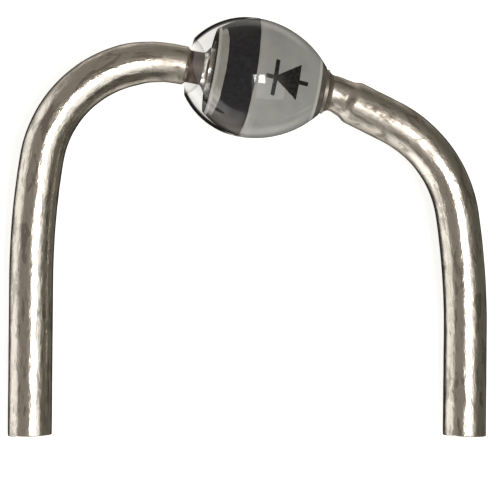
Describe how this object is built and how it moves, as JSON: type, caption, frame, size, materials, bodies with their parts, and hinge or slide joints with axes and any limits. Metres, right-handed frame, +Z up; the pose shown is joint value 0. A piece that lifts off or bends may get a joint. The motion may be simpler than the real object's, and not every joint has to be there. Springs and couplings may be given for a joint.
{
  "type": "axial rectifier diode",
  "caption": "Axial rectifier diode: a rounded grey glass bead with a black cathode band, and two thick tinned leads bent down to a half-inch pitch.",
  "frame": {"origin": "on the surface that the loose part lies on, under the middle of its box, midway between the two legs", "axes": "+X across the legs from the cathode to the anode, -Y along the legs towards their tips, +Z up from the surface"},
  "size_m": [0.014, 0.0122, 0.0035],
  "materials": {
    "fused_glass": "opaque light grey fused glass, glossy, slightly wavy",
    "band_ink": "near-black baked ink, semi-gloss",
    "silicon": "dark grey, etched",
    "bond_metal": "dull silver",
    "molybdenum": "turned, dull grey",
    "braze": "dark brown grey, heat-stained",
    "tinned_wire": "warm silver grey tinned copper, drawn and slightly pitted"
  },
  "bodies": {
    "root": {"glass_bead": "fused_glass", "cathode_band": "band_ink", "silicon_chip": "silicon", "cathode_bond": "bond_metal", "anode_bond": "bond_metal", "cathode_stud": "molybdenum", "anode_stud": "molybdenum", "cathode_braze": "braze", "anode_braze": "braze", "cathode_lead": "tinned_wire", "anode_lead": "tinned_wire"}
  },
  "joints": []
}
